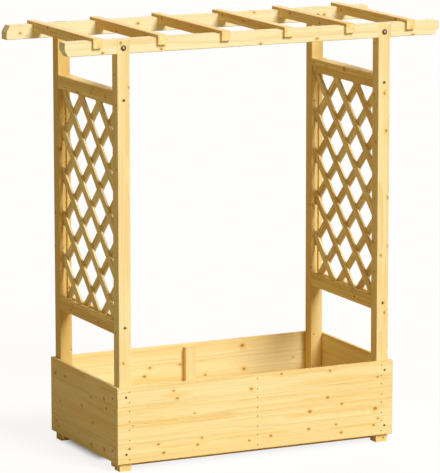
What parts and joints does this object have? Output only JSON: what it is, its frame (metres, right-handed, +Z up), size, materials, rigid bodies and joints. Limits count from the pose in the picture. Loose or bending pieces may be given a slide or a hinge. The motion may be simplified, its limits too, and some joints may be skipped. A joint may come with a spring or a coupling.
{
  "type": "raised garden bed with pergola",
  "caption": "Wooden raised planting box with corner posts, a slatted pergola roof over it and a diamond lattice trellis between the posts at each end.",
  "frame": {"origin": "on the ground under the middle of the box", "axes": "+Z up from the ground, +X along the box and the beams to the right, +Y from the front wall to the back wall"},
  "size_m": [1.47, 0.6, 1.552],
  "materials": {
    "post_wood": "planed pine, unpainted",
    "board_wood": "planed pine boards with knots, unpainted",
    "roof_wood": "planed pine, unpainted",
    "lattice_wood": "thin planed pine, unpainted",
    "inside_wood": "rough sawn pine, unpainted",
    "nail_steel": "dull wire nails",
    "screw_steel": "dull yellow plated screws",
    "bolt_steel": "bright zinc plated steel"
  },
  "bodies": {
    "root": {"post_front_left": "post_wood", "post_front_right": "post_wood", "post_back_left": "post_wood", "post_back_right": "post_wood", "front_board_1": "board_wood", "front_board_2": "board_wood", "front_board_3": "board_wood", "front_board_4": "board_wood", "back_board_1": "board_wood", "back_board_2": "board_wood", "back_board_3": "board_wood", "back_board_4": "board_wood", "left_board_1": "board_wood", "left_board_2": "board_wood", "left_board_3": "board_wood", "left_board_4": "board_wood", "right_board_1": "board_wood", "right_board_2": "board_wood", "right_board_3": "board_wood", "right_board_4": "board_wood", "front_batten": "inside_wood", "back_batten": "inside_wood", "front_bearer": "inside_wood", "back_bearer": "inside_wood", "floor_slat_1": "inside_wood", "floor_slat_2": "inside_wood", "floor_slat_3": "inside_wood", "floor_slat_4": "inside_wood", "floor_slat_5": "inside_wood", "floor_slat_6": "inside_wood", "floor_slat_7": "inside_wood", "floor_slat_8": "inside_wood", "floor_end_slat_left": "inside_wood", "floor_end_slat_right": "inside_wood", "beam_front": "roof_wood", "beam_back": "roof_wood", "rafter_1": "roof_wood", "rafter_2": "roof_wood", "rafter_3": "roof_wood", "rafter_4": "roof_wood", "rafter_5": "roof_wood", "rafter_6": "roof_wood", "trellis_left_top_rail": "post_wood", "trellis_left_low_rail": "post_wood", "trellis_right_top_rail": "post_wood", "trellis_right_low_rail": "post_wood", "trellis_left_outer_slats": "lattice_wood", "trellis_left_inner_slats": "lattice_wood", "trellis_right_inner_slats": "lattice_wood", "trellis_right_outer_slats": "lattice_wood", "wall_nails": "nail_steel", "wall_screws": "screw_steel", "floor_nails": "nail_steel", "bearer_screws": "screw_steel", "rail_screws": "screw_steel", "rafter_screws": "screw_steel", "trellis_nails": "nail_steel", "beam_bolts": "bolt_steel", "bolt_washers": "bolt_steel", "bolt_nuts": "bolt_steel"}
  },
  "joints": []
}
